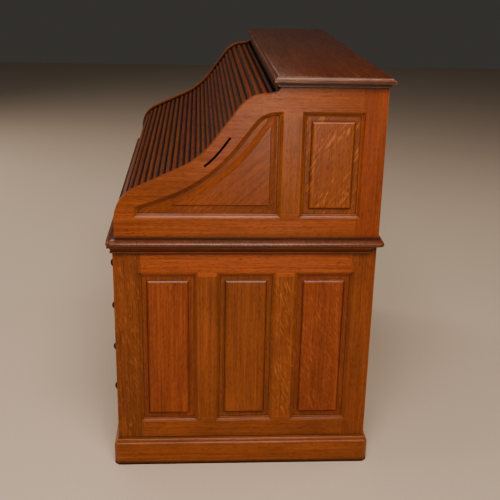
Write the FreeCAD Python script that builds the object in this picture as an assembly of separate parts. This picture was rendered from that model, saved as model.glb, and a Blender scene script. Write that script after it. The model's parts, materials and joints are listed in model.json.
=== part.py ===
import FreeCAD, Part
import math
import os
from FreeCAD import Vector

# Roll top desk in oak: two pedestals of drawers, a desktop, and a slatted roll top between two S-shaped gables.
# Millimetres. X runs to the sitter's right, Y to the back and Z up. In this file Y counts from the front face of
# the lower side frames; save() moves everything by MID_Y, so that the origin is on the floor below the middle.

# Overall
WIDTH = 1400.0            # between the outer faces of the side frames and of the gables
DEPTH = 789.0             # of the lower side frames
KNEEHOLE = 600.0          # clear width between the pedestals
DESKTOP_Z = 765.0         # writing surface
DESKTOP_THICK = 20.3
DESKTOP_FRONT = -20.0     # nose of the desktop
DESKTOP_BACK = 809.2
DESKTOP_CORNERS = [18.0, 12.0, 12.0, 18.0]   # radii in plan, from the left front round to the right front
END_OVERHANG = 22.0       # desktop and top board, past the outer faces

# Frames and panels
SIDE_THICK = 26.0
GABLE_THICK = 28.0
BACK_THICK = 20.0
STILE = 70.5
MUNTIN = 54.5
PANEL_WIDTH = 182.5
SIDE_BAYS = 3
PANEL_LOW, PANEL_HIGH = 149.5, 659.0
FOOT_GAP = 4.0            # lower ends of the frames, above the floor
FLOOR_Z = (70.0, 88.0)    # faces of the pedestals' floors
STICKING = 12.6           # width of the moulding worked on a frame's inner edges
# Depth below the frame's face, and distance in from the edge of the opening. The first and last pass the board.
STICKING_STEPS = [(-1, 0), (0.5, 0), (1.2, 1.4), (2.8, 4.4), (4.7, 6.9), (5.6, 7.6), (6.5, 7.8), (6.5, 9.0),
                  (7.0, 10.4), (8.0, 11.9), (9.6, STICKING), (40, STICKING)]
GROOVE_STEPS = [(9.6, 0.6), (16.8, 0.6)]
PANEL_BOARD = [(16.5, 1.0), (9.8, 1.0)]
PANEL_STEPS = PANEL_BOARD + [(9.8, 27.4), (8.9, 27.6), (6.8, 29.2), (4.6, 32.4), (3.8, 33.6), (2.8, 33.8)]

# Plinth, bed moulding and board edges, as (height, how far in or out)
PLINTH_STEPS = [(0, 14.0), (70, 14.0), (73.5, 13.4), (76.6, 11.8), (78.6, 9.6), (79.4, 7.8), (80.8, 7.8),
                (83.6, 7.2), (86.2, 5.8), (88.0, 3.8), (88.6, 2.2), (93, 2.2)]
PLINTH_REACH = 14.0
PLINTH_CHAMFER = 12.0     # across its corners, in plan
BED_LOW = 722.8
BED_STEPS = [(0, 5.6), (1.2, 7.4), (3.8, 7.8), (3.8, 4.6), (8.0, 4.8), (12.4, 6.4), (16.0, 9.6), (18.4, 14.4),
             (18.4, 16.0), (21.9, 16.0)]
BED_REACH = 16.0
BED_BACK = 764.0
DESKTOP_STEPS = [(0, 7.6), (0.8, 4.6), (2.6, 2.0), (5.4, 0.5), (8.6, 0.0), (11.4, 0.7), (13.6, 2.6), (14.6, 4.8),
                 (14.6, 6.0), (16.6, 8.4), (18.4, 12.2), (19.6, 16.8), (20.3, 21.0)]
TOP_FRONT, TOP_BACK = 465.3, 806.9
TOP_LOW = 1227.6
TOP_STEPS = [(0, 3.4), (1.5, 1.2), (6.2, 0.0), (10.9, 1.2), (12.4, 3.4), (12.4, 6.0), (15.4, 8.0), (18.4, 11.4),
             (20.1, 15.5)]
FILLET_LOW = 1217.0       # flat fillet between the gables and the top board
FILLET_FRONT = 478.0
FILLET_OVERHANG = 5.0
HEAD_RAIL_Y = (479.0, 499.0)          # rail between the gables, over the slats
HEAD_RAIL_LOW = 1192.0
BACK_LOW = 93.0           # foot of the lower back, above the plinths
BACK_OPENING_LOW = 169.5
BACK_BAYS = 5

# Drawers
DRAWER_PITCH = 146.5
DRAWERS_LOW = 131.0
RAIL = 16.0               # height of the rail below each drawer
FRONT_THICK = 22.0
FRONT_GAP = 1.0           # round each drawer front
BOX_WALL = 12.0
BOX_LENGTH = 668.0        # behind the front
BOX_GAP = 3.0             # between a drawer's side and the carcass
BOX_BOTTOM = 6.0
BOX_BOTTOM_RISE = 7.0     # of the bottom, above the foot of the sides
BOX_RIM_GAP = 8.0         # above the sides
HOUSING = 6.0             # how far the bottom is let into the front
RUNNER = 18.0
RUNNER_RISE = 2.5         # of the runners, above the foot of the opening
RUNNER_BACK = 760.0
CENTRE_RUNNER_BACK = 600.0
CENTRE_RUNNER_FOOT = 10.0 # below the opening over the kneehole
CENTRE_WALL = 10.0
CENTRE_LOW = 652.0        # underside of the opening over the kneehole
CENTRE_LENGTH = 470.0
FRONT_FIELD = [(FRONT_THICK, 0), (3.0, 0), (3.0, 9.0), (0.0, 22.0)]

# Drop handles
PULL_REACH = 24.0         # in front of the drawers
PLATE_TIP, PLATE_SHOULDER, PLATE_HALF = 52.0, 40.0, 13.0   # back plate, from its middle
PLATE_RADII = [4.0, 9.0, 9.0, 4.0, 9.0, 9.0]
PLATE_STEPS = [(0, 0), (-1.4, 0), (-2.6, 1.6)]
POST_SPREAD = 30.0        # half the distance between the posts
STEM = 4.0                # radius of a post's stem
KNOB = 5.6                # radius of a post's head
HINGE_Y = -13.4           # axis of the bail
BAIL_HALF = 40.4
BAIL_DROP = 25.0
BAIL_ROD = 3.0            # radius
BAIL_EYE = 3.6            # radius of the ball at each end
BAIL_BOW = 7.2            # how far the arms bow out between the hinge and the grip
GRIP = 4.2                # radius
GRIP_HALF = 17.0
PIN = 2.0                 # radius
PIN_PLAY = 0.05           # radial
PIN_END = 27.0            # inner end, from the middle of the handle
PIN_HOLE = (20.0, 45.0)   # ends of the hole drilled for it

# Roll top: the gable's edge is straight runs joined by arcs, from the desktop up and back
EDGE = [(7.0, DESKTOP_Z), (7.0, 888.8), (258.4, 1003.3), (399.1, 1193.5), (777.0, 1193.5), (777.0, 800.0)]
EDGE_RADII = [0, 98.0, 260.0, 100.0, 75.5, 0]
GABLE_BACK = 792.7
GABLE_FLAT_END = 455.0    # end of the flat stretch, where the gable coves up to the top board
GABLE_COVE = 35.0
CANVAS_INSET = 19.5       # canvas face of the slats, inside the gable's edge
CROWN = 11.0              # slat's crown above the canvas
TONGUE = (2.7, 8.2)       # ends of the slats that run in the groove, above the canvas
TONGUE_LENGTH = 9.0
TONGUE_SHOULDER = 2.0     # on each side of a tongue
TRACK_HALF = 7.5          # half the groove's width
TRACK_DEPTH = 10.0
SLAT_PITCH = 21.0
SLAT_WIDTH = 19.4
SLAT_CHEEK = 5.6          # height of a slat's flat sides
CANVAS = 0.8
CANVAS_GAP = 0.2          # glue line
CANVAS_END = 14.0         # between the canvas and the gables
SECTION_GAP = 0.2         # cut off each end of a section's canvas
LEAD_LENGTH = 118.0       # lead rail, along the canvas line
LEAD_INNER = 7.0          # lead rail, inside the canvas line
SECTIONS = [3, 3, 3, 3, 3, 4, 4, 4]   # slats in each section of the curtain
TRAVEL = 545.0            # of the curtain, along its track
ROLL_PLAY = 0.5           # between the curtain and the gables
LETTER_SLOT = (383.0, 488.5)          # where the slot starts and ends, along the gable's edge
LETTER_SLOT_INSET = (26.8, 33.8)

# Lock and finger lifts
LOCK_Z = 800.0
LOCK_RADIUS = 9.0
LOCK_FLANGE = 14.0        # radius
LOCK_FLANGE_THICK = 2.2
KEYHOLE = 2.2             # radius of its round head
KEYHOLE_HALF = 1.0        # half the width of its slot
KEYHOLE_RISE, KEYHOLE_FOOT = 1.5, -6.0
KEYHOLE_DEPTH = 9.0
STRIKE_HALF = 22.0        # strike let into the desktop
STRIKE_Y = (15.0, 29.0)
STRIKE_THICK = 1.6
MORTISE_HALF = 6.0
MORTISE_Y = (19.0, 25.0)
LIFT_X, LIFT_Z = 330.0, 793.0
LIFT_HALF = 38.0
LIFT_PROFILE = [(0, 13), (9, 11), (18, 5), (18, 0), (0, 0)]   # out from the lead rail, and up

# Gable openings
GABLE_RAIL_TOP = 829.5
GABLE_OPEN_TOP = 1146.0
REAR_OPENING = (549.5, 731.5)
S_OPENING = [(64.0, GABLE_RAIL_TOP), (64.0, 864.5), (278.0, 935.0), (438.5, GABLE_OPEN_TOP),
             (496.0, GABLE_OPEN_TOP), (496.0, GABLE_RAIL_TOP)]
S_RADII = [0, 22.0, 470.0, 84.0, 0, 0]
S_FIELD = [(183.0, 870.5), (333.4, 924.2), (460.0, 1104.0), (460.0, 870.5)]   # raised face of the S-shaped panel
S_FIELD_RADII = [0, 480.0, 0, 0]
S_FIELD_STEPS = [(16.0, -17.0), (9.6, -17.0), (5.2, -0.9), (2.8, 0.0)]

# Pigeonholes
CASE_HALF = 664.0
CASE_FRONT, CASE_BACK = 430.0, 740.0
CASE_TOP = 1138.0
CASE_BOARD = 12.0
SHELF_Z = 900.0
SHELF = 8.0
BAY_HALF = 200.0          # centre of the upright between the middle bay and its neighbours
PARTITION = 6.0
DIVIDER_SETBACK = 4.0

SIDE_X = WIDTH / 2
INNER_X = SIDE_X - SIDE_THICK
GABLE_INNER = SIDE_X - GABLE_THICK
KNEE_X = KNEEHOLE / 2
KNEE_BOARD = 20.0
CARCASS_TOP = DESKTOP_Z - DESKTOP_THICK
MID_Y = (DESKTOP_BACK - PULL_REACH) / 2
ROLL_HALF = GABLE_INNER - ROLL_PLAY
FACE_Y = EDGE[0][0] + CANVAS_INSET - CROWN     # outer face of the lead rail, where it stands upright
SMALLEST_RADIUS = 0.5
SPARE = 1.0               # how far a cutter runs past what it cuts
FAR = 2000.0              # past the end of every board
HAIR = 1e-6               # distances this close are one


def save(node, solids):
    """Writes the solids as one node, with the origin moved to the middle of the desk."""
    shape = Part.makeCompound(solids)
    for solid in shape.Solids:
        if not solid.isValid() or solid.Volume < 1:
            print("bad solid in", node, solid.Volume)
    shape.translate(Vector(0, -MID_Y, 0))
    shape.exportStep("parts/" + node + ".step")


def box(x0, x1, y0, y1, z0, z1):
    return Part.makeBox(x1 - x0, y1 - y0, z1 - z0, Vector(x0, y0, z0))


def mirrored(solids):
    """The same solids on the other side of the desk."""
    return [solid.mirror(Vector(0, 0, 0), Vector(1, 0, 0)) for solid in solids]


def rod(start, end, radius):
    """Cylinder from one point to another."""
    run = end.sub(start)
    return Part.makeCylinder(radius, run.Length, start, run)


# Outlines. One is a list of corners with a radius for each, drawn so that its inside is on the right.

def place(axis, w, u, v):
    """The point at w along the named axis, and at u and v along the other two in X, Y, Z order."""
    return {"x": Vector(w, u, v), "y": Vector(u, w, v), "z": Vector(u, v, w)}[axis]


def heading(start, end):
    length = math.hypot(end[0] - start[0], end[1] - start[1])
    return (end[0] - start[0]) / length, (end[1] - start[1]) / length


def drawn_in(corners, radii, inset, closed):
    """Corners and radii of the outline that lies inset to the right of this one."""
    last = len(corners) - 1
    moved, rounded = [], []
    for i, (corner, radius) in enumerate(zip(corners, radii)):
        after = heading(corner, corners[(i + 1) % len(corners)]) if closed or i < last else None
        before = heading(corners[i - 1], corner) if closed or i > 0 else after
        after = after or before
        reach = inset / (1 + before[0] * after[0] + before[1] * after[1])
        moved.append((corner[0] + (before[1] + after[1]) * reach, corner[1] - (before[0] + after[0]) * reach))
        turn = before[0] * after[1] - before[1] * after[0]
        rounded.append(max(radius + math.copysign(inset, turn), SMALLEST_RADIUS) if radius else 0)
    return moved, rounded


def outline(corners, radii, axis, w):
    """Edges round the corners, in the plane at w along the named axis."""
    ends = []
    for i, (corner, radius) in enumerate(zip(corners, radii)):
        before = heading(corners[i - 1], corner)
        after = heading(corner, corners[(i + 1) % len(corners)])
        turn = math.acos(max(-1, min(1, before[0] * after[0] + before[1] * after[1])))
        reach = radius * math.tan(turn / 2)
        cut = radius / math.cos(turn / 2) - radius
        across = heading((0, 0), (after[0] - before[0], after[1] - before[1]))
        ends.append((place(axis, w, corner[0] - before[0] * reach, corner[1] - before[1] * reach),
                     place(axis, w, corner[0] + across[0] * cut, corner[1] + across[1] * cut),
                     place(axis, w, corner[0] + after[0] * reach, corner[1] + after[1] * reach)))
    edges = []
    for i, (start, middle, end) in enumerate(ends):
        if radii[i]:
            edges.append(Part.Arc(start, middle, end).toShape())
        edges.append(Part.LineSegment(end, ends[(i + 1) % len(ends)][0]).toShape())
    return edges


def between(first, second, flat):
    """Face between an edge of one outline and the same edge of the next."""
    a, b = [edge.Vertexes[0].Point for edge in (first, second)]
    c, d = [edge.Vertexes[-1].Point for edge in (first, second)]
    if isinstance(first.Curve, Part.Line):
        return Part.Face(Part.makePolygon([a, c, d, b, a]))
    if flat:
        sides = [Part.LineSegment(a, b).toShape(), Part.LineSegment(c, d).toShape()]
        return Part.Face(Part.Wire(Part.__sortEdges__([first, second] + sides)))
    return Part.makeRuledSurface(first, second)


def moulded(corners, radii, axis, steps):
    """Solid through the outline at each step, a step being a place along the axis and an inset."""
    rings = [outline(*drawn_in(corners, radii, inset, True), axis, w) for w, inset in steps]
    faces = [Part.Face(Part.Wire(ring)) for ring in (rings[0], rings[-1])]
    for (w0, _), (w1, _), ring, following in zip(steps, steps[1:], rings, rings[1:]):
        faces += [between(a, b, w0 == w1) for a, b in zip(ring, following)]
    shell = Part.makeShell(faces)
    shell.sewShape()
    solid = Part.makeSolid(shell)
    return solid if solid.Volume > 0 else solid.reversed()


def rectangle(u0, u1, v0, v1):
    return [(u0, v0), (u0, v1), (u1, v1), (u1, v0)], [0, 0, 0, 0]


def sunk(face, back, steps):
    """Steps given as depths below a face, as places along the axis from that face towards the back."""
    inward = math.copysign(1, back - face)
    return [(face + inward * depth, inset) for depth, inset in steps]


def openings_cut(board, openings, axis, face, back):
    """The board with each moulded opening, and the groove round it that holds its panel."""
    for corners, radii in openings:
        board = board.cut(moulded(corners, radii, axis, sunk(face, back, STICKING_STEPS)))
        board = board.cut(moulded(corners, radii, axis, sunk(face, back, GROOVE_STEPS)))
    return board


def members(board, boxes):
    """The board sawn into its stiles, rails and muntins."""
    return [solid for piece in boxes for solid in board.common(piece).Solids]


def block(axis, w0, w1, u0, u1, v0, v1):
    low, high = place(axis, min(w0, w1), u0, v0), place(axis, max(w0, w1), u1, v1)
    return box(low.x, high.x, low.y, high.y, low.z, high.z)


def panelled_frame(axis, face, back, u, v, bays, opening):
    """Stiles, rails and muntins round a row of openings, and the raised panels that fill them."""
    low, high = opening
    rows = [rectangle(u0, u1, low, high) for u0, u1 in bays]
    board = openings_cut(block(axis, face, back, *u, *v), rows, axis, face, back)
    left, right = bays[0][0] + STICKING, bays[-1][1] - STICKING
    foot, head = low + STICKING, high - STICKING
    cuts = [(u[0], left, *v), (right, u[1], *v), (left, right, v[0], foot), (left, right, head, v[1])]
    for before, after in zip(bays, bays[1:]):
        cuts.append((before[1] - STICKING, after[0] + STICKING, foot, head))
    frame = members(board, [block(axis, face, back, *cut) for cut in cuts])
    panels = [moulded(*row, axis, sunk(face, back, PANEL_STEPS)) for row in rows]
    return frame, panels


def moulding_run(steps, base, along, start, end, face, outward, reach, chamfer):
    """Moulding along X or Y with mitred ends, standing out from a face. start and end are its inner ends."""
    profile = [(0, steps[0][0])] + [(out, z) for z, out in steps] + [(0, steps[-1][0])]
    points = [place(along, start - reach, face + outward * out, base + z) for out, z in profile]
    run = Part.Face(Part.makePolygon(points + points[:1])).extrude(place(along, end - start + 2 * reach, 0, 0))
    low, high = steps[0][0] + base - SPARE, steps[-1][0] + base + SPARE
    plan = [(start, 0), (end, 0), (end + reach - chamfer / 2, reach - chamfer / 2), (end + reach - chamfer, reach),
            (start - reach + chamfer, reach), (start - reach + chamfer / 2, reach - chamfer / 2)]
    corners = [place(along, a, face + outward * out, low) for a, out in plan]
    mitred = Part.Face(Part.makePolygon(corners + corners[:1])).extrude(Vector(0, 0, high - low))
    return run.common(mitred).Solids


# Paths in the Y-Z plane, measured along their length.

class Path:
    """Straight runs joined by tangent arcs. An inset is to the right of the way it runs."""

    def __init__(self, corners, radii):
        self.spans = []
        self.length = 0.0
        here = corners[0]
        for i in range(1, len(corners)):
            before = heading(corners[i - 1], corners[i])
            angle = math.atan2(before[1], before[0])
            turn = 0.0
            if i < len(corners) - 1:
                after = heading(corners[i], corners[i + 1])
                turn = math.atan2(before[0] * after[1] - before[1] * after[0],
                                  before[0] * after[0] + before[1] * after[1])
            reach = radii[i] * math.tan(abs(turn) / 2)
            bend = (corners[i][0] - before[0] * reach, corners[i][1] - before[1] * reach)
            self.add(here, angle, math.dist(here, bend), 0.0)
            if turn:
                self.add(bend, angle, radii[i] * abs(turn), math.copysign(1 / radii[i], turn))
                here = (corners[i][0] + after[0] * reach, corners[i][1] + after[1] * reach)

    def add(self, start, angle, length, curvature):
        self.spans.append((self.length, start, angle, curvature))
        self.length += length

    def at(self, distance, inset=0.0):
        """Point at a distance along the path, and the way it runs there."""
        begin, start, angle, curvature = [span for span in self.spans if span[0] <= distance + HAIR][-1]
        run = distance - begin
        now = angle + curvature * run
        if curvature:
            y = start[0] + (math.sin(now) - math.sin(angle)) / curvature
            z = start[1] - (math.cos(now) - math.cos(angle)) / curvature
        else:
            y = start[0] + run * math.cos(angle)
            z = start[1] + run * math.sin(angle)
        return y + inset * math.sin(now), z - inset * math.cos(now), now

    def edges(self, first, last, inset, x):
        """Lines and arcs from one distance to another, at an inset, in the plane at x."""
        stops = [first] + [span[0] for span in self.spans if first < span[0] < last] + [last]
        points = [Vector(x, *self.at(stop, inset)[:2]) for stop in stops]
        found = []
        for begin, end, start, finish in zip(stops, stops[1:], points, points[1:]):
            middle = Vector(x, *self.at((begin + end) / 2, inset)[:2])
            curved = [span for span in self.spans if span[0] <= begin + HAIR][-1][3]
            shape = Part.Arc(start, middle, finish) if curved else Part.LineSegment(start, finish)
            found.append(shape.toShape())
        return found

    def band(self, first, last, near, far, x0, x1):
        """Solid from x0 to x1 between two insets, from one distance to another."""
        outer = self.edges(first, last, near, x0)
        inner = self.edges(first, last, far, x0)
        ends = [(outer[0].Vertexes[0].Point, inner[0].Vertexes[0].Point),
                (outer[-1].Vertexes[-1].Point, inner[-1].Vertexes[-1].Point)]
        caps = [Part.LineSegment(*end).toShape() for end in ends]
        wire = Part.Wire(Part.__sortEdges__(outer + inner + caps))
        return Part.Face(wire).extrude(Vector(x1 - x0, 0, 0))


edge_path = Path(EDGE, EDGE_RADII)
canvas_path = Path(*drawn_in(EDGE, EDGE_RADII, CANVAS_INSET, False))


# Lower carcass

def pedestal_plinth():
    """Four mitred boards round the foot of the right pedestal."""
    shape = dict(steps=PLINTH_STEPS, base=0, reach=PLINTH_REACH, chamfer=PLINTH_CHAMFER)
    return (moulding_run(along="x", start=KNEE_X, end=SIDE_X, face=0, outward=-1, **shape)
            + moulding_run(along="x", start=KNEE_X, end=SIDE_X, face=DEPTH, outward=1, **shape)
            + moulding_run(along="y", start=0, end=DEPTH, face=SIDE_X, outward=1, **shape)
            + moulding_run(along="y", start=0, end=DEPTH, face=KNEE_X, outward=-1, **shape))


def side_frame():
    first = [STILE + i * (PANEL_WIDTH + MUNTIN) for i in range(SIDE_BAYS)]
    bays = [(start, start + PANEL_WIDTH) for start in first]
    opening = (PANEL_LOW, PANEL_HIGH)
    return panelled_frame("x", SIDE_X, INNER_X, (0, DEPTH), (FOOT_GAP, CARCASS_TOP), bays, opening)


def back_frame(low, high, opening, y, half):
    """Panelled back between the sides, with its face at y."""
    panel = (2 * half - 2 * STILE - (BACK_BAYS - 1) * MUNTIN) / BACK_BAYS
    first = [-half + STILE + i * (panel + MUNTIN) for i in range(BACK_BAYS)]
    bays = [(start, start + panel) for start in first]
    return panelled_frame("y", y, y - BACK_THICK, (-half, half), (low, high), bays, opening)


def knee_board():
    return [box(KNEE_X, KNEE_X + KNEE_BOARD, 0, DEPTH - BACK_THICK, FOOT_GAP, CARCASS_TOP)]


def pedestal_floor():
    return [box(KNEE_X + KNEE_BOARD, INNER_X, FRONT_THICK, DEPTH - BACK_THICK, *FLOOR_Z)]


def drawer_openings(modules):
    """Lower and upper ends of a pedestal's drawer openings, for the number of modules that each one takes."""
    found, low = [], DRAWERS_LOW
    for count in modules:
        found.append((low + RAIL / 2, low + count * DRAWER_PITCH - RAIL / 2))
        low += count * DRAWER_PITCH
    return found


RIGHT_OPENINGS = drawer_openings([1, 1, 1, 1])
LEFT_OPENINGS = drawer_openings([2, 1, 1])


def pedestal_rails(openings):
    """Rails across the front of the right pedestal, below, between and above its drawers."""
    heights = [FOOT_GAP] + [z for opening in openings for z in opening] + [CARCASS_TOP]
    pairs = zip(heights[0::2], heights[1::2])
    return [box(KNEE_X + KNEE_BOARD, INNER_X, 0, FRONT_THICK, low, high) for low, high in pairs]


def pedestal_runners(openings):
    """The strips that the right pedestal's drawers slide on."""
    found = []
    for low, _ in openings:
        for x in (KNEE_X + KNEE_BOARD, INNER_X - RUNNER):
            found.append(box(x, x + RUNNER, FRONT_THICK, RUNNER_BACK, low - RAIL, low + RUNNER_RISE))
    return found


def centre_runner():
    """Strip on the right kneehole side, that the centre drawer's side slides on."""
    return [box(KNEE_X - RUNNER, KNEE_X, FRONT_THICK, CENTRE_RUNNER_BACK, CENTRE_LOW - CENTRE_RUNNER_FOOT,
                CENTRE_LOW + RUNNER_RISE)]


# Drawers and their handles

def drawer(x0, x1, low, high, length, wall):
    """Front, two sides, back and bottom, for the opening from x0 to x1."""
    corners, radii = rectangle(x0 + FRONT_GAP, x1 - FRONT_GAP, low + FRONT_GAP, high - FRONT_GAP)
    front = moulded(corners, radii, "y", FRONT_FIELD)
    left, right = x0 + BOX_GAP, x1 - BOX_GAP
    foot, rim = low + BOX_GAP, high - BOX_RIM_GAP
    under, over = foot + BOX_BOTTOM_RISE, foot + BOX_BOTTOM_RISE + BOX_BOTTOM
    end = FRONT_THICK + length
    bottom = box(left + wall / 2, right - wall / 2, FRONT_THICK - HOUSING, end, under, over)
    sides = [box(x, x + wall, FRONT_THICK, end, foot, rim).cut(bottom) for x in (left, right - wall)]
    back = box(left + wall, right - wall, end - wall, end, over, rim)
    return [front.cut(bottom), *sides, back, bottom]


def pull(x, z):
    """Back plate with two turned posts, drilled across for the bail's pins."""
    corners = [(x - PLATE_TIP, z), (x - PLATE_SHOULDER, z + PLATE_HALF), (x + PLATE_SHOULDER, z + PLATE_HALF),
               (x + PLATE_TIP, z), (x + PLATE_SHOULDER, z - PLATE_HALF), (x - PLATE_SHOULDER, z - PLATE_HALF)]
    solids = [moulded(corners, PLATE_RADII, "y", PLATE_STEPS)]
    for side in (-1, 1):
        middle = Vector(x + side * POST_SPREAD, HINGE_Y, z)
        stem = rod(Vector(middle.x, PLATE_STEPS[-1][0], z), middle, STEM)
        knob = Part.makeSphere(KNOB, middle)
        inner, outer = [Vector(x + side * end, HINGE_Y, z) for end in PIN_HOLE]
        solids.append(stem.fuse(knob).removeSplitter().cut(rod(inner, outer, PIN + PIN_PLAY)))
    return solids


def bail(x, z):
    """Drop handle: two bowed arms and a grip, with pins that turn in the posts."""
    low = z - BAIL_DROP
    radius = (BAIL_DROP ** 2 / 4 + BAIL_BOW ** 2) / (2 * BAIL_BOW)
    centre_y = HINGE_Y - BAIL_BOW + radius
    ring = Part.makeTorus(radius, BAIL_ROD, Vector(0, centre_y, z - BAIL_DROP / 2), Vector(1, 0, 0))
    bow = ring.common(box(-2 * BAIL_ROD, 2 * BAIL_ROD, HINGE_Y - BAIL_DROP, HINGE_Y, low, z))
    shape = rod(Vector(x - BAIL_HALF, HINGE_Y, low), Vector(x + BAIL_HALF, HINGE_Y, low), BAIL_ROD)
    shape = shape.fuse(rod(Vector(x - GRIP_HALF, HINGE_Y, low), Vector(x + GRIP_HALF, HINGE_Y, low), GRIP))
    for side in (-1, 1):
        arm = bow.copy()
        arm.translate(Vector(x + side * BAIL_HALF, 0, 0))
        corner = Part.makeSphere(BAIL_ROD, Vector(x + side * BAIL_HALF, HINGE_Y, low))
        eye = Part.makeSphere(BAIL_EYE, Vector(x + side * BAIL_HALF, HINGE_Y, z))
        pin = rod(Vector(x + side * BAIL_HALF, HINGE_Y, z), Vector(x + side * PIN_END, HINGE_Y, z), PIN)
        shape = shape.fuse([arm, corner, eye, pin])
    return [shape.removeSplitter()]


# Gables and the roll top

def gable():
    """Frame of the right gable: back stile, bottom rail, top rail, muntin and curved rail."""
    flat = [s for s in range(int(edge_path.length)) if edge_path.at(s)[0] < GABLE_FLAT_END][-1]
    flat += GABLE_FLAT_END - edge_path.at(flat)[0]
    edges = edge_path.edges(0, flat, 0, GABLE_INNER)
    rise = FILLET_LOW - EDGE[3][1]
    centre_z = EDGE[3][1] + GABLE_COVE
    sweep = math.acos((GABLE_COVE - rise) / GABLE_COVE)
    cove = [Vector(GABLE_INNER, GABLE_FLAT_END + GABLE_COVE * math.sin(a), centre_z - GABLE_COVE * math.cos(a))
            for a in (0, sweep / 2, sweep)]
    cove[0] = edges[-1].Vertexes[-1].Point
    edges.append(Part.Arc(*cove).toShape())
    corners = [cove[2], Vector(GABLE_INNER, GABLE_BACK, FILLET_LOW), Vector(GABLE_INNER, GABLE_BACK, DESKTOP_Z),
               edges[0].Vertexes[0].Point]
    edges += [Part.LineSegment(a, b).toShape() for a, b in zip(corners, corners[1:])]
    board = Part.Face(Part.Wire(edges)).extrude(Vector(GABLE_THICK, 0, 0))
    rear = rectangle(*REAR_OPENING, GABLE_RAIL_TOP, GABLE_OPEN_TOP)
    board = openings_cut(board, [(S_OPENING, S_RADII), rear], "x", SIDE_X, GABLE_INNER)
    middle = sum(TONGUE) / 2
    board = board.cut(canvas_path.band(0, canvas_path.length, -middle - TRACK_HALF, -middle + TRACK_HALF,
                                       GABLE_INNER - SPARE, GABLE_INNER + TRACK_DEPTH))
    stile_y = REAR_OPENING[1] - STICKING
    rail_z, top_z = GABLE_RAIL_TOP + STICKING, GABLE_OPEN_TOP - STICKING
    curve_y = S_OPENING[3][0]
    muntin_y = (S_OPENING[4][0] - STICKING, REAR_OPENING[0] + STICKING)
    x = (GABLE_INNER - SPARE, SIDE_X + SPARE)
    cuts = [(stile_y, FAR, 0, FAR), (0, stile_y, 0, rail_z), (curve_y, stile_y, top_z, FAR),
            (*muntin_y, rail_z, top_z)]
    curved = box(*x, 0, curve_y, rail_z, FAR).fuse(box(*x, curve_y, muntin_y[0], rail_z, top_z)).removeSplitter()
    return members(board, [box(*x, *cut) for cut in cuts] + [curved])


def letter_slot():
    """Slot for letters through the right gable's curved rail, parallel to its edge."""
    return edge_path.band(*LETTER_SLOT, *LETTER_SLOT_INSET, GABLE_INNER - SPARE, SIDE_X + SPARE)


def gable_panels():
    """The S-shaped panel and the rectangular one behind it."""
    base = moulded(S_OPENING, S_RADII, "x", sunk(SIDE_X, GABLE_INNER, PANEL_BOARD))
    field = moulded(S_FIELD, S_FIELD_RADII, "x", sunk(SIDE_X, GABLE_INNER, S_FIELD_STEPS))
    inside = [(0, STICKING + SPARE), (PANEL_BOARD[0][0], STICKING + SPARE)]
    field = field.common(moulded(S_OPENING, S_RADII, "x", sunk(SIDE_X, GABLE_INNER, inside)))
    rear = rectangle(*REAR_OPENING, GABLE_RAIL_TOP, GABLE_OPEN_TOP)
    return [base.fuse(field).removeSplitter(), moulded(*rear, "x", sunk(SIDE_X, GABLE_INNER, PANEL_STEPS))]


def lead_rail():
    """The wide rail that leads the curtain, shaped to the gable's edge, bored for the lock."""
    rail = canvas_path.band(ROLL_PLAY, LEAD_LENGTH, -CROWN, LEAD_INNER, -ROLL_HALF, ROLL_HALF)
    inside = FACE_Y + CROWN + LEAD_INNER + SPARE
    return [rail.cut(rod(Vector(0, FACE_Y - SPARE, LOCK_Z), Vector(0, inside, LOCK_Z), LOCK_RADIUS))]


def roll_lock():
    """Lock barrel through the lead rail, with its flange outside and a keyhole."""
    front, face, inside = FACE_Y - LOCK_FLANGE_THICK, FACE_Y, FACE_Y + CROWN + LEAD_INNER + SPARE
    barrel = rod(Vector(0, face, LOCK_Z), Vector(0, inside, LOCK_Z), LOCK_RADIUS)
    flange = rod(Vector(0, front, LOCK_Z), Vector(0, face, LOCK_Z), LOCK_FLANGE)
    start, end = front - SPARE, face + KEYHOLE_DEPTH
    head_z = LOCK_Z + KEYHOLE_RISE
    keyhole = rod(Vector(0, start, head_z), Vector(0, end, head_z), KEYHOLE)
    keyhole = keyhole.fuse(box(-KEYHOLE_HALF, KEYHOLE_HALF, start, end, LOCK_Z + KEYHOLE_FOOT, head_z))
    return [barrel.fuse(flange).removeSplitter().cut(keyhole)]


def finger_lift(x):
    """Shelf-shaped lift on the lead rail, for the fingers of one hand."""
    profile = [Vector(x - LIFT_HALF, FACE_Y - out, LIFT_Z + up) for out, up in LIFT_PROFILE]
    return Part.Face(Part.makePolygon(profile + profile[:1])).extrude(Vector(2 * LIFT_HALF, 0, 0))


def slat(distance):
    """One slat, with a rounded back, and tongues that run in the gables' grooves."""
    y, z, angle = canvas_path.at(distance)
    half = SLAT_WIDTH / 2
    corners = [(-half, 0), (-half, SLAT_CHEEK), (0, CROWN), (half, SLAT_CHEEK), (half, 0)]

    def spot(point, x):
        along, out = point
        return Vector(x, y + along * math.cos(angle) - out * math.sin(angle),
                      z + along * math.sin(angle) + out * math.cos(angle))

    points = [spot(corner, -ROLL_HALF) for corner in corners]
    edges = [Part.LineSegment(points[0], points[1]), Part.Arc(*points[1:4]), Part.LineSegment(points[3], points[4]),
             Part.LineSegment(points[4], points[0])]
    shape = Part.Face(Part.Wire([edge.toShape() for edge in edges])).extrude(Vector(2 * ROLL_HALF, 0, 0))
    cheek, reach = half - TONGUE_SHOULDER, ROLL_HALF + TONGUE_LENGTH
    ends = [(-cheek, TONGUE[0]), (-cheek, TONGUE[1]), (cheek, TONGUE[1]), (cheek, TONGUE[0])]
    points = [spot(corner, -reach) for corner in ends]
    tongue = Part.Face(Part.makePolygon(points + points[:1])).extrude(Vector(2 * reach, 0, 0))
    return shape.fuse(tongue).removeSplitter()


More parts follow.
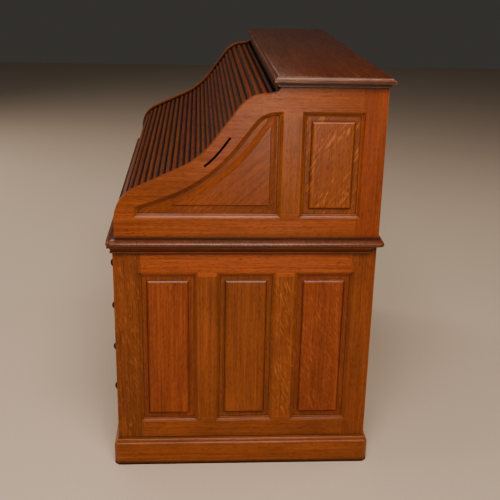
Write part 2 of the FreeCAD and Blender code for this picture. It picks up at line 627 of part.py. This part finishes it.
def section_slats(index):
    """Distances of a section's slats along the canvas, with the roll top shut."""
    first = sum(SECTIONS[:index])
    return [LEAD_LENGTH + SLAT_PITCH * (first + i + 0.5) for i in range(SECTIONS[index])]


def section(index):
    """Slats of one section and the strip of canvas that they are glued to."""
    distances = section_slats(index)
    half = GABLE_INNER - CANVAS_END
    start = distances[0] - SLAT_PITCH / 2 + SECTION_GAP
    end = distances[-1] + SLAT_PITCH / 2 - SECTION_GAP
    canvas = canvas_path.band(start, end, CANVAS_GAP, CANVAS_GAP + CANVAS, -half, half)
    return [slat(distance) for distance in distances] + [canvas]


# Pigeonholes

def case_boards():
    inner = CASE_HALF - CASE_BOARD
    ends = [box(x, x + CASE_BOARD, CASE_FRONT, CASE_BACK, DESKTOP_Z, CASE_TOP) for x in (-CASE_HALF, inner)]
    back_y = CASE_BACK - PARTITION
    return ends + [box(-inner, inner, CASE_FRONT, back_y, CASE_TOP - CASE_BOARD, CASE_TOP),
                   box(-inner, inner, CASE_FRONT, back_y, DESKTOP_Z, DESKTOP_Z + CASE_BOARD),
                   box(-inner, inner, back_y, CASE_BACK, DESKTOP_Z, CASE_TOP)]


def bays():
    """The left, middle and right bays between the case's uprights."""
    inner, half = CASE_HALF - CASE_BOARD, CASE_BOARD / 2
    return [(-inner, -BAY_HALF - half), (-BAY_HALF + half, BAY_HALF - half), (BAY_HALF + half, inner)]


def dividers():
    low, high = DESKTOP_Z + CASE_BOARD, CASE_TOP - CASE_BOARD
    front, back = CASE_FRONT + DIVIDER_SETBACK, CASE_BACK - PARTITION
    half = CASE_BOARD / 2
    boards = [box(x - half, x + half, front, back, low, high) for x in (-BAY_HALF, BAY_HALF)]
    for x0, x1 in bays():
        boards.append(box(x0, x1, front, back, SHELF_Z, SHELF_Z + SHELF))
        for third in (1, 2):
            x = x0 + (x1 - x0) * third / 3
            boards.append(box(x - PARTITION / 2, x + PARTITION / 2, front, back, SHELF_Z + SHELF, high))
    return boards


def main():
    os.makedirs("parts", exist_ok=True)

    save("plinth_right", pedestal_plinth())
    save("plinth_left", mirrored(pedestal_plinth()))
    frame, panels = side_frame()
    save("side_frame_right", frame)
    save("side_panels_right", panels)
    save("side_frame_left", mirrored(frame))
    save("side_panels_left", mirrored(panels))
    save("kneehole_sides", knee_board() + mirrored(knee_board()))
    save("pedestal_floors", pedestal_floor() + mirrored(pedestal_floor()))
    top_rail = box(-KNEE_X, KNEE_X, 0, FRONT_THICK, BED_LOW, CARCASS_TOP)
    save("drawer_rails", pedestal_rails(RIGHT_OPENINGS) + mirrored(pedestal_rails(LEFT_OPENINGS)) + [top_rail])
    right_runners = pedestal_runners(RIGHT_OPENINGS) + centre_runner()
    left_runners = pedestal_runners(LEFT_OPENINGS) + centre_runner()
    save("drawer_runners", right_runners + mirrored(left_runners))
    frame, panels = back_frame(BACK_LOW, CARCASS_TOP, (BACK_OPENING_LOW, PANEL_HIGH), DEPTH, INNER_X)
    save("back_frame", frame)
    save("back_panels", panels)
    bed = dict(steps=BED_STEPS, base=BED_LOW, reach=BED_REACH, chamfer=0)
    bed_side = moulding_run(along="y", start=0, end=BED_BACK, face=SIDE_X, outward=1, **bed)
    bed_front = moulding_run(along="x", start=-SIDE_X, end=SIDE_X, face=0, outward=-1, **bed)
    save("bed_moulding", bed_front + bed_side + mirrored(bed_side))

    half = SIDE_X + END_OVERHANG
    strike = box(-STRIKE_HALF, STRIKE_HALF, *STRIKE_Y, DESKTOP_Z - STRIKE_THICK, DESKTOP_Z)
    mortise = box(-MORTISE_HALF, MORTISE_HALF, *MORTISE_Y, DESKTOP_Z - STRIKE_THICK - SPARE, DESKTOP_Z + SPARE)
    edge = [(CARCASS_TOP + z, inset) for z, inset in DESKTOP_STEPS]
    corners, _ = rectangle(-half, half, DESKTOP_FRONT, DESKTOP_BACK)
    desktop = moulded(corners, DESKTOP_CORNERS, "z", edge).cut(strike)
    save("desktop", [desktop])
    save("lock_strike", [strike.cut(mortise)])

    frame = gable()
    save("gable_frame_left", mirrored(frame))
    save("gable_frame_right", [solid.cut(letter_slot()) for solid in frame])
    save("gable_panels_right", gable_panels())
    save("gable_panels_left", mirrored(gable_panels()))
    edge = [(TOP_LOW + z, inset) for z, inset in TOP_STEPS]
    end = SIDE_X + FILLET_OVERHANG
    fillet = box(-end, end, FILLET_FRONT, GABLE_BACK + FILLET_OVERHANG, FILLET_LOW, TOP_LOW)
    save("top_board", [moulded(*rectangle(-half, half, TOP_FRONT, TOP_BACK), "z", edge), fillet])
    save("head_rail", [box(-GABLE_INNER, GABLE_INNER, *HEAD_RAIL_Y, HEAD_RAIL_LOW, FILLET_LOW)])
    opening = (GABLE_RAIL_TOP, GABLE_OPEN_TOP)
    frame, panels = back_frame(DESKTOP_Z, FILLET_LOW, opening, GABLE_BACK, GABLE_INNER)
    save("upper_back_frame", frame)
    save("upper_back_panels", panels)
    save("pigeonhole_case", case_boards())
    save("pigeonhole_dividers", dividers())

    middle = (KNEE_X + KNEE_BOARD + INNER_X) / 2
    for side, openings, x in (("right", RIGHT_OPENINGS, middle), ("left", LEFT_OPENINGS, -middle)):
        for number, (low, high) in enumerate(reversed(openings), 1):
            name, z = side + "_" + str(number), (low + high) / 2
            boards = drawer(KNEE_X + KNEE_BOARD, INNER_X, low, high, BOX_LENGTH, BOX_WALL)
            save("drawer_" + name, boards if x > 0 else mirrored(boards))
            save("pull_" + name, pull(x, z))
            save("bail_" + name, bail(x, z))
    boards = drawer(-KNEE_X, KNEE_X, CENTRE_LOW, BED_LOW, CENTRE_LENGTH, CENTRE_WALL)
    z = (CENTRE_LOW + BED_LOW) / 2
    save("drawer_centre", boards)
    save("pull_centre", pull(0, z))
    save("bail_centre", bail(0, z))

    save("lead_rail", lead_rail())
    save("roll_lock", roll_lock())
    save("finger_lifts", [finger_lift(-LIFT_X), finger_lift(LIFT_X)])
    for index in range(len(SECTIONS)):
        save("slats_" + str(index + 1), section(index))


main()
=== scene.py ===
import json
import math
import random

import bmesh
import bpy
import numpy as np
from mathutils import Matrix, Vector


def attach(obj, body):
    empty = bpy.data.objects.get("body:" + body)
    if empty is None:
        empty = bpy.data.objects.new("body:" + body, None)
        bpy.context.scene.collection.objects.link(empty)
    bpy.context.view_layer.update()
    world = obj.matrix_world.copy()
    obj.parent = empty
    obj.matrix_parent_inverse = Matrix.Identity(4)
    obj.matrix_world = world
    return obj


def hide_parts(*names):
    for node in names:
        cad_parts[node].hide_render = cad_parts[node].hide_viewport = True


# Roll top desk. Metres, X to the sitter's right, Y to the back, Z up. Every solid of the frame is remade with
# eased edges, each board with its own run of grain, and takes a procedural finish.

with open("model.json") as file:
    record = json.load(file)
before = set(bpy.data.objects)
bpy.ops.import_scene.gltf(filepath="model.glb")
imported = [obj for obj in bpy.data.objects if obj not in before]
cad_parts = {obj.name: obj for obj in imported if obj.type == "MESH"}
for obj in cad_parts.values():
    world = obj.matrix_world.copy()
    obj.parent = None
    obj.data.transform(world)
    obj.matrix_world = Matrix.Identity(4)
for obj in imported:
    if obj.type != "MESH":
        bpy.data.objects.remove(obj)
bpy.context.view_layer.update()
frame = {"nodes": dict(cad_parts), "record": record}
NODES = frame["nodes"]
BODIES = frame["record"]["behaviour"]["bodies"]
BODY_OF = {node: body for body, nodes in BODIES.items() for node in nodes}

X, Y, Z = Vector((1, 0, 0)), Vector((0, 1, 0)), Vector((0, 0, 1))

# Edges of the pieces
EASED = 0.0007                       # width of the worn edge of a board
EASED_SLAT = 0.0005
EASED_CASTING = 0.0004
EASED_BRASS = 0.0003
EASED_OVER = math.radians(38)        # an edge is eased where its faces turn by more than this
CREASE = math.radians(32)            # and shaded as sharp over this
FLAT = math.radians(0.3)             # triangles that turn less than this are one face

# Markings of the wood, in waves to the metre: along the board, across it and through it
SWAYS = (2.2, 9, 9)
BANDS = (1.6, 150, 110)
STREAKS = (9, 760, 500)
PORES = (60, 850, 850)
BLOTCHES = (4.5, 13, 13)
RIPPLES = (9, 22, 22)
FLAKES = (26, 175, 0)                # the ray figure of quartered oak
FLAKE_PATCHES = (12, 16, 0)
SWAY = 0.010                         # how far the grain wanders
WAX_AND_SHADE_REACH = 0.020                    # how far out of a corner the painted shade and the old wax reach
WOOD_RUB = 0.0030                    # how far from an edge the finish is rubbed, and the tops' painted highlight reaches
WOOD_RELIEF = 0.00025

METAL_STAIN = 90.0
METAL_RUB = 0.0015
METAL_RELIEF = 0.00012

THREADS = 190.0                      # waves to the metre of the canvas's weave
CANVAS_STAIN = 25.0
CANVAS_RELIEF = 0.0004

# What each board draws for itself
FIGURE_STRENGTHS = (0.0, 0.12, 0.25, 0.45)
FIGURE_SLANTS = (0.35, 0.9)          # angle of the flakes from the grain
BOARD_TONES = (0.88, 1.12)
HUE_SPREAD = 0.006
GRAIN_SPREAD = 40                    # the boards' grain starts at places up to this far apart


# Node trees

class Graph:
    """A material's node tree, with one short call per node."""

    def __init__(self, name):
        self.material = bpy.data.materials.new(name)
        self.material.use_nodes = True
        self.tree = self.material.node_tree
        self.tree.nodes.clear()

    def add(self, kind, links=(), **properties):
        """New node with its inputs set or linked by name or number. Returns the node."""
        node = self.tree.nodes.new("ShaderNode" + kind)
        for key, value in properties.items():
            setattr(node, key, value)
        for key, value in dict(links).items():
            if isinstance(value, bpy.types.Node):
                value = value.outputs[0]
            if isinstance(value, bpy.types.NodeSocket):
                self.tree.links.new(value, node.inputs[key])
            else:
                node.inputs[key].default_value = value
        return node

    def math(self, operation, a, b, clamp=False):
        return self.add("Math", {0: a, 1: b}, operation=operation, use_clamp=clamp)

    def attribute(self, name):
        return self.add("Attribute", attribute_name=name).outputs["Vector"]

    def scaled(self, vector, scale):
        return self.add("VectorMath", {0: vector, 1: scale}, operation="MULTIPLY")

    def noise(self, vector, detail=2.0, roughness=0.5, distortion=0.0, scale=1.0):
        links = {"Vector": vector, "Scale": scale, "Detail": detail, "Roughness": roughness,
                 "Distortion": distortion}
        return self.add("TexNoise", links).outputs[0]

    def remap(self, value, low, high, to_low=0.0, to_high=1.0):
        return self.add("MapRange", {0: value, 1: low, 2: high, 3: to_low, 4: to_high}).outputs[0]

    def mix(self, factor, a, b):
        return self.add("Mix", {0: factor, 6: a, 7: b}, data_type="RGBA").outputs[2]

    def flatness(self, radius):
        """1 away from edges, and less within the radius of one."""
        rounded = self.add("Bevel", {"Radius": radius}, samples=4)
        true = self.add("NewGeometry").outputs["Normal"]
        return self.add("VectorMath", {0: rounded, 1: true}, operation="DOT_PRODUCT").outputs["Value"]

    def finish(self, links, bump=None):
        """Principled shader as the surface. bump is (height, distance)."""
        shader = self.add("BsdfPrincipled", links)
        if bump:
            normal = self.add("Bump", {"Height": bump[0], "Distance": bump[1], "Strength": 1.0})
            self.tree.links.new(normal.outputs[0], shader.inputs["Normal"])
        self.add("OutputMaterial", {"Surface": shader})
        return self.material


def rgba(r, g, b):
    return (r, g, b, 1.0)


def darker(colour, r, g, b):
    """The colour with each channel reduced to a part of itself."""
    return rgba(colour[0] * r, colour[1] * g, colour[2] * b)


def ray_figure(g, ray):
    """1 on the flakes of the ray figure, as strong as the board's own figure."""
    strength = g.add("SeparateXYZ", {0: ray}).outputs["Z"]
    flake = g.noise(g.scaled(ray, FLAKES), detail=2.0, roughness=0.5, distortion=0.8)
    patch = g.noise(g.scaled(ray, FLAKE_PATCHES), detail=1.0)
    flake = g.math("MULTIPLY", g.remap(flake, 0.56, 0.67), g.remap(patch, 0.34, 0.54))
    return g.math("MULTIPLY", flake, strength, clamp=True)


def wood(name, dark, mid, light, fleck, roughness=0.31, recess=0.98, specular=0.25, edge_wear_and_highlight=None,
         wax_and_shade_openness=(0.91, 0.72)):
    """Oak in an old shellac finish. A board carries grain and ray coordinates in metres, and its own tone.
    recess is how dark the painted shade, with the old wax, in the corners is. The last argument is how open a
    place is where that shade starts, and where it is full."""
    g = Graph(name)
    grain = g.attribute("grain")
    own = g.add("SeparateXYZ", {0: g.attribute("tone")})
    sway = g.math("MULTIPLY", g.math("SUBTRACT", g.noise(g.scaled(grain, SWAYS)), 0.5), SWAY)
    run = g.add("VectorMath", {0: grain, 1: g.add("CombineXYZ", {"Y": sway, "Z": sway})}, operation="ADD")
    bands = g.noise(g.scaled(run, BANDS), detail=3.0, roughness=0.6)
    streaks = g.noise(g.scaled(run, STREAKS), detail=3.0, roughness=0.6)
    blotch = g.noise(g.scaled(grain, BLOTCHES), detail=4.0, roughness=0.6)
    pore = g.remap(g.noise(g.scaled(run, PORES), detail=2.0), 0.56, 0.68)

    shade = g.math("ADD", g.math("MULTIPLY", bands, 0.5), g.math("MULTIPLY", streaks, 0.5))
    ramp = g.add("ValToRGB", {0: g.remap(shade, 0.27, 0.73)})
    ramp.color_ramp.elements[0].color = dark
    ramp.color_ramp.elements[1].color = light
    ramp.color_ramp.elements.new(0.5).color = mid
    value = g.math("ADD", own.outputs["X"], g.remap(blotch, 0.3, 0.7, -0.16, 0.14))
    toned = g.add("HueSaturation", {"Hue": own.outputs["Y"], "Value": value, "Color": ramp.outputs[0]})
    colour = g.mix(g.math("MULTIPLY", ray_figure(g, g.attribute("ray")), 0.8), toned, fleck)
    colour = g.mix(g.math("MULTIPLY", pore, 0.8), colour, darker(dark, 0.35, 0.3, 0.3))

    # Painted shade: corners, creases and gaps darken nearly to black by how closed they are, with the old wax
    # there; the same mask makes the finish a little rougher.
    openness = g.add("AmbientOcclusion", {"Distance": WAX_AND_SHADE_REACH}, samples=8).outputs["AO"]
    wax_and_shade = g.math("MULTIPLY", g.remap(openness, *wax_and_shade_openness), recess, clamp=True)
    colour = g.mix(wax_and_shade, colour, darker(dark, 0.04, 0.04, 0.1))
    # Rubbed edges, lighter where the finish is worn; on the tops the edge colour is a painted highlight, pale
    # pink like a reflection.
    rubbed = g.remap(g.flatness(WOOD_RUB), 0.985, 0.86)
    rubbed = g.math("MULTIPLY", rubbed, g.remap(blotch, 0.35, 0.6, 0.25, 0.8), clamp=True)
    colour = g.mix(rubbed, colour, edge_wear_and_highlight or light)

    gloss = g.remap(streaks, 0.3, 0.7, roughness - 0.05, roughness + 0.06)
    gloss = g.math("ADD", gloss, g.math("MULTIPLY", wax_and_shade, 0.3))
    ripple = g.noise(g.scaled(grain, RIPPLES), detail=1.0)
    height = g.math("ADD", g.math("MULTIPLY", ripple, 1.6), g.math("MULTIPLY", streaks, 0.2))
    height = g.math("SUBTRACT", height, g.math("MULTIPLY", pore, 0.2))
    shader = {"Base Color": colour, "Roughness": gloss, "Specular IOR Level": specular}
    return g.finish(shader, bump=(height, WOOD_RELIEF))


def metal(name, colour, worn, roughness):
    """Old cast metal: stained, and rubbed bright on its edges."""
    g = Graph(name)
    place = g.add("TexCoord").outputs["Object"]
    stain = g.noise(place, scale=METAL_STAIN, detail=4.0, roughness=0.65)
    rubbed = g.remap(g.flatness(METAL_RUB), 0.97, 0.80)
    rubbed = g.math("MULTIPLY", rubbed, g.remap(stain, 0.35, 0.6), clamp=True)
    base = g.mix(g.remap(stain, 0.35, 0.7), colour, darker(colour, 0.55, 0.55, 0.55))
    base = g.mix(rubbed, base, worn)
    gloss = g.remap(stain, 0.3, 0.7, roughness - 0.08, roughness + 0.12)
    return g.finish({"Base Color": base, "Metallic": 1.0, "Roughness": gloss}, bump=(stain, METAL_RELIEF))


def weave(name, warp, weft):
    """Coarse canvas, with threads along and across the strip."""
    g = Graph(name)
    grain = g.attribute("grain")
    threads = []
    for axis in ("X", "Y"):
        wave = g.add("TexWave", {"Vector": grain, "Scale": THREADS, "Distortion": 1.2, "Detail": 2.0,
                                 "Detail Scale": 1.0}, bands_direction=axis)
        threads.append(wave.outputs["Fac"])
    fade = g.noise(grain, scale=CANVAS_STAIN, detail=3.0)
    colour = g.mix(threads[0], warp, weft)
    colour = g.mix(g.remap(fade, 0.4, 0.7, 0.0, 0.5), colour, darker(warp, 0.5, 0.5, 0.5))
    height = g.math("ADD", *threads)
    return g.finish({"Base Color": colour, "Roughness": 0.92}, bump=(height, CANVAS_RELIEF))


# Wood: the dark, middle and light of its grain, and its flakes. Metal: its own colour, and where it is rubbed
FINISH = {
    "oak_frame": wood("oak_frame", rgba(0.105, 0.021, 0.0030), rgba(0.235, 0.051, 0.0065),
                      rgba(0.37, 0.096, 0.0130), rgba(0.55, 0.175, 0.030)),
    "oak_panel": wood("oak_panel", rgba(0.100, 0.020, 0.0028), rgba(0.210, 0.045, 0.0058),
                      rgba(0.33, 0.082, 0.0115), rgba(0.60, 0.185, 0.032)),
    # The tops' rubbed edges are a painted highlight, pale pink where the noses catch the light.
    "oak_top": wood("oak_top", rgba(0.050, 0.010, 0.0020), rgba(0.092, 0.021, 0.0035),
                    rgba(0.16, 0.042, 0.008), rgba(0.22, 0.07, 0.02), roughness=0.25, specular=0.55,
                    edge_wear_and_highlight=rgba(0.62, 0.30, 0.17)),
    # The slats' gaps take a strong painted shade.
    "oak_slat": wood("oak_slat", rgba(0.060, 0.0115, 0.0012), rgba(0.145, 0.028, 0.0024),
                     rgba(0.20, 0.042, 0.0065), rgba(0.24, 0.06, 0.009), roughness=0.30, specular=0.12,
                     wax_and_shade_openness=(0.985, 0.88)),
    "oak_drawer": wood("oak_drawer", rgba(0.110, 0.021, 0.0016), rgba(0.240, 0.048, 0.0030),
                       rgba(0.37, 0.090, 0.0080), rgba(0.50, 0.160, 0.022)),
    "oak_interior": wood("oak_interior", rgba(0.24, 0.095, 0.028), rgba(0.36, 0.16, 0.052),
                         rgba(0.46, 0.225, 0.08), rgba(0.55, 0.3, 0.12), roughness=0.55, recess=0.5),
    "canvas": weave("canvas", rgba(0.30, 0.24, 0.16), rgba(0.22, 0.17, 0.11)),
    "bronze": metal("bronze", rgba(0.045, 0.026, 0.015), rgba(0.34, 0.18, 0.08), 0.36),
    "brass": metal("brass", rgba(0.42, 0.27, 0.09), rgba(0.78, 0.56, 0.24), 0.28),
}


# Boards from the frame's solids

def closed_solids(node):
    """The node's triangles, one group per solid: a solid is whole once every edge has met its pair. A few
    triangles of the pulls and bails collapse when corners are rounded, so their last group never closes."""
    mesh = NODES[node].data
    points = [tuple(round(c, 6) for c in v.co) for v in mesh.vertices]
    groups, group, unmet = [], [], set()
    for face in mesh.polygons:
        corners = [points[i] for i in face.vertices]
        group.append(corners)
        for a, b in zip(corners, corners[1:] + corners[:1]):
            if (b, a) in unmet:
                unmet.remove((b, a))
            else:
                unmet.add((a, b))
        if not unmet:
            groups.append(group)
            group = []
    if group:
        groups.append(group)
    return groups


class Board:
    """Where one solid's grain and ray figure run, and how light it is."""

    def __init__(self, node, index, corners, rule):
        low, high = Vector(corners.min(0)), Vector(corners.max(0))
        size = high - low
        self.centre = (low + high) / 2
        chance = random.Random(node + str(index))
        shortest, _, longest = sorted(range(3), key=lambda i: size[i])
        self.thin, self.along = (X, Y, Z)[shortest], (X, Y, Z)[longest]
        self.figure = chance.choice(FIGURE_STRENGTHS)
        self.slant = chance.uniform(*FIGURE_SLANTS) * chance.choice((-1, 1))
        self.stretch = 1.0
        self.tone = chance.uniform(*BOARD_TONES)
        self.hue = 0.5 + chance.uniform(-HUE_SPREAD, HUE_SPREAD)
        self.offset = Vector([chance.uniform(0, GRAIN_SPREAD) for _ in range(3)])
        if rule:
            rule(self, index)
        self.across = self.thin.cross(self.along)

    def coordinates(self, point):
        """Grain coordinates, and ray coordinates with the figure's strength, of a point."""
        rel = Vector(point) - self.centre
        along, across = rel.dot(self.along), rel.dot(self.across)
        grain = Vector((along, across, rel.dot(self.thin))) + self.offset
        cos, sin = math.cos(self.slant), math.sin(self.slant)
        u = (along * cos + across * sin) * self.stretch
        v = (across * cos - along * sin) * self.stretch
        return grain, Vector((u + self.offset.x, v + self.offset.y, self.figure))


def remade(node, finishes, rule=None, eased=EASED, dissolve=True):
    """Makes the piece that stands for a node, its solids welded and eased. finishes are for the solids in
    turn, and the last one for all the rest."""
    build = bmesh.new()
    grain = build.verts.layers.float_vector.new("grain")
    ray = build.verts.layers.float_vector.new("ray")
    tone = build.verts.layers.float_vector.new("tone")
    slots = list(dict.fromkeys(finishes))
    for index, group in enumerate(closed_solids(node)):
        board = Board(node, index, np.array([corner for face in group for corner in face]), rule)
        slot = slots.index(finishes[min(index, len(finishes) - 1)])
        made = {}
        for face in group:
            for corner in face:
                if corner not in made:
                    vert = made[corner] = build.verts.new(corner)
                    vert[grain], vert[ray] = board.coordinates(corner)
                    vert[tone] = Vector((board.tone, board.hue, 0))
            triangle = [made[corner] for corner in face]
            if len(set(face)) == 3 and not build.faces.get(triangle):
                build.faces.new(triangle).material_index = slot
        if dissolve:
            verts = list(made.values())
            edges = list(dict.fromkeys(edge for vert in verts for edge in vert.link_edges))
            bmesh.ops.dissolve_limit(build, angle_limit=FLAT, verts=verts, edges=edges,
                                     use_dissolve_boundaries=False)
    mesh = bpy.data.meshes.new(node + "_made")
    build.to_mesh(mesh)
    build.free()
    mesh.shade_smooth()
    mesh.set_sharp_from_angle(angle=CREASE)
    piece = bpy.data.objects.new(node + "_made", mesh)
    bpy.context.scene.collection.objects.link(piece)
    for finish in slots:
        mesh.materials.append(FINISH[finish])
    if eased:
        bevel = piece.modifiers.new("eased", "BEVEL")
        bevel.width = eased
        bevel.segments = 2
        bevel.limit_method = "ANGLE"
        bevel.angle_limit = EASED_OVER
        bevel.harden_normals = True
    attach(piece, BODY_OF[node])
    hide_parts(node)


def rail_rule(figures, tones=()):
    """Rule that gives some of a node's boards a figure or a listed tone, by their place in the node. A listed
    tone can hold painted light.
    """
    def rule(board, index):
        board.figure *= 0.35
        if index in figures:
            board.figure, board.slant, board.stretch = figures[index]
        if index < len(tones):
            board.tone = tones[index]
    return rule


def panel_rule(figures):
    """The same, for panels whose grain runs up."""
    def rule(board, index):
        board.along = Z
        rail_rule(figures)(board, index)
    return rule


# Strength, slant of the rays from the grain, and how much finer than usual they are
SIDE_FIGURES = {0: (0.40, 0.22, 1.2), 5: (0.70, 0.35, 1.3)}
SIDE_PANEL_FIGURES = {2: (0.45, 0.45, 1.5)}
GABLE_PANEL_FIGURES = {1: (0.8, -0.50, 0.95)}
SIDE_TONES_AND_LIGHT = (0.80, 0.84, 0.92, 1.30, 0.92, 0.94)     # stiles, bottom rail, top rail, muntins; the top rail's 1.30 is painted light, brighter near the top where the light falls
GABLE_TONES = (0.86, 1.08, 1.0, 0.92, 0.92)           # stile, bottom rail, top rail, muntin, curved rail
GABLE_SLOPE = Vector((0, 0.75, 0.66)).normalized()
GABLE_FIGURE = 0.12


def gable_panel(board, index):
    """The rear panel's grain runs up, with a bold figure, and the S-shaped panel's along its slope."""
    panel_rule(GABLE_PANEL_FIGURES)(board, index)
    if index == 0:
        board.along = GABLE_SLOPE
        board.figure = GABLE_FIGURE


def make_boards():
    for node in ("plinth_right", "plinth_left", "side_frame_left", "kneehole_sides", "drawer_rails",
                 "back_frame", "bed_moulding", "gable_frame_left", "upper_back_frame"):
        remade(node, ["oak_frame"], rail_rule({}))
    remade("side_frame_right", ["oak_frame"], rail_rule(SIDE_FIGURES, SIDE_TONES_AND_LIGHT))
    remade("gable_frame_right", ["oak_frame"], rail_rule({}, GABLE_TONES))
    for node in ("side_panels_left", "back_panels", "upper_back_panels"):
        remade(node, ["oak_panel"], panel_rule({}))
    remade("side_panels_right", ["oak_panel"], panel_rule(SIDE_PANEL_FIGURES))
    for node in ("gable_panels_right", "gable_panels_left"):
        remade(node, ["oak_panel"], gable_panel)
    for node in ("desktop", "top_board"):
        remade(node, ["oak_top"])
    for node in ("head_rail", "lead_rail"):
        remade(node, ["oak_slat"])
    for node in ("pedestal_floors", "drawer_runners", "pigeonhole_case", "pigeonhole_dividers"):
        remade(node, ["oak_interior"])
    for node in NODES:
        if node.startswith("drawer_") and node not in ("drawer_rails", "drawer_runners"):
            remade(node, ["oak_drawer", "oak_interior"])
        if node.startswith("slats_"):
            slat_count = len(closed_solids(node)) - 1
            remade(node, ["oak_slat"] * slat_count + ["canvas"], eased=EASED_SLAT)
        if node.startswith(("pull_", "finger_lifts")):
            remade(node, ["bronze"], eased=EASED_CASTING)
        if node.startswith("bail_"):
            remade(node, ["bronze"], eased=0, dissolve=False)
        if node in ("roll_lock", "lock_strike"):
            remade(node, ["brass"], eased=EASED_BRASS)


# Room, lights and camera

FLOOR_HALF = 9
FLOOR_SPECKS = 260.0
FLOOR_COLOURS = rgba(0.55, 0.45, 0.36), rgba(0.66, 0.55, 0.45)
WARM = (1.0, 0.86, 0.72)
ROOM_COLOUR = rgba(1.0, 0.92, 0.84)
ROOM_STRENGTH = 0.04


def floor():
    half = FLOOR_HALF
    mesh = bpy.data.meshes.new("floor")
    corners = [(-half, -half, 0), (half, -half, 0), (half, half, 0), (-half, half, 0)]
    mesh.from_pydata(corners, [], [(0, 1, 2, 3)])
    ground = bpy.data.objects.new("floor", mesh)
    bpy.context.scene.collection.objects.link(ground)
    g = Graph("floor")
    place = g.add("TexCoord").outputs["Object"]
    speck = g.noise(place, scale=FLOOR_SPECKS, detail=3.0)
    colour = g.mix(g.remap(speck, 0.3, 0.7), *FLOOR_COLOURS)
    mesh.materials.append(g.finish({"Base Color": colour, "Roughness": 0.9}))


def softbox(name, place, target, size, power):
    data = bpy.data.lights.new(name, "AREA")
    data.shape = "RECTANGLE"
    data.size, data.size_y = size
    data.energy = power
    data.color = WARM
    light = bpy.data.objects.new(name, data)
    light.location = place
    light.rotation_mode = "QUATERNION"
    light.rotation_quaternion = (Vector(target) - Vector(place)).to_track_quat("-Z", "Y")
    bpy.context.scene.collection.objects.link(light)


def lights():
    world = bpy.data.worlds.new("studio")
    world.use_nodes = True
    background = world.node_tree.nodes["Background"]
    background.inputs["Color"].default_value = ROOM_COLOUR
    background.inputs["Strength"].default_value = ROOM_STRENGTH
    bpy.context.scene.world = world
    softbox("high_right", place=(2.3, 0.1, 3.3), target=(0.7, 0, 0.8), size=(1.7, 0.8), power=98)
    softbox("beside_viewer", place=(3.4, 0.0, 2.6), target=(0.7, 0, 0.7), size=(1.6, 1.0), power=26)
    softbox("front", place=(0.6, -3.6, 2.4), target=(0, 0, 0.7), size=(2.2, 1.6), power=42)
    softbox("back", place=(-0.6, 3.8, 2.6), target=(0, 0, 0.7), size=(2.2, 1.6), power=36)
    softbox("high_left", place=(-2.4, -0.8, 4.0), target=(-0.4, 0, 0.8), size=(1.6, 1.6), power=38)
    softbox("left", place=(-3.2, -4.0, 1.9), target=(-0.5, 0, 0.6), size=(1.4, 1.4), power=75)
    softbox("low_glare", place=(3.0, 0.23, 0.74), target=(0.7, 0.05, 1.15), size=(0.16, 0.16), power=8)


LENS, SENSOR = 61.06, 36.0                  # millimetres
EYE = (3.074, -0.1366, 1.585)
YAW, PITCH, ROLL = math.radians(3.66), math.radians(-19.74), math.radians(1.23)


def camera():
    data = bpy.data.cameras.new("camera")
    data.lens, data.sensor_width = LENS, SENSOR
    ahead = Vector((-math.cos(YAW) * math.cos(PITCH), math.sin(YAW) * math.cos(PITCH), math.sin(PITCH)))
    level = Vector((math.sin(YAW), math.cos(YAW), 0))
    up = level.cross(ahead)
    side = level * math.cos(ROLL) + up * math.sin(ROLL)
    up = up * math.cos(ROLL) - level * math.sin(ROLL)
    view = bpy.data.objects.new("camera", data)
    view.matrix_world = Matrix.Translation(EYE) @ Matrix((side, up, -ahead)).transposed().to_4x4()
    bpy.context.scene.collection.objects.link(view)
    bpy.context.scene.camera = view


make_boards()
floor()
lights()
camera()
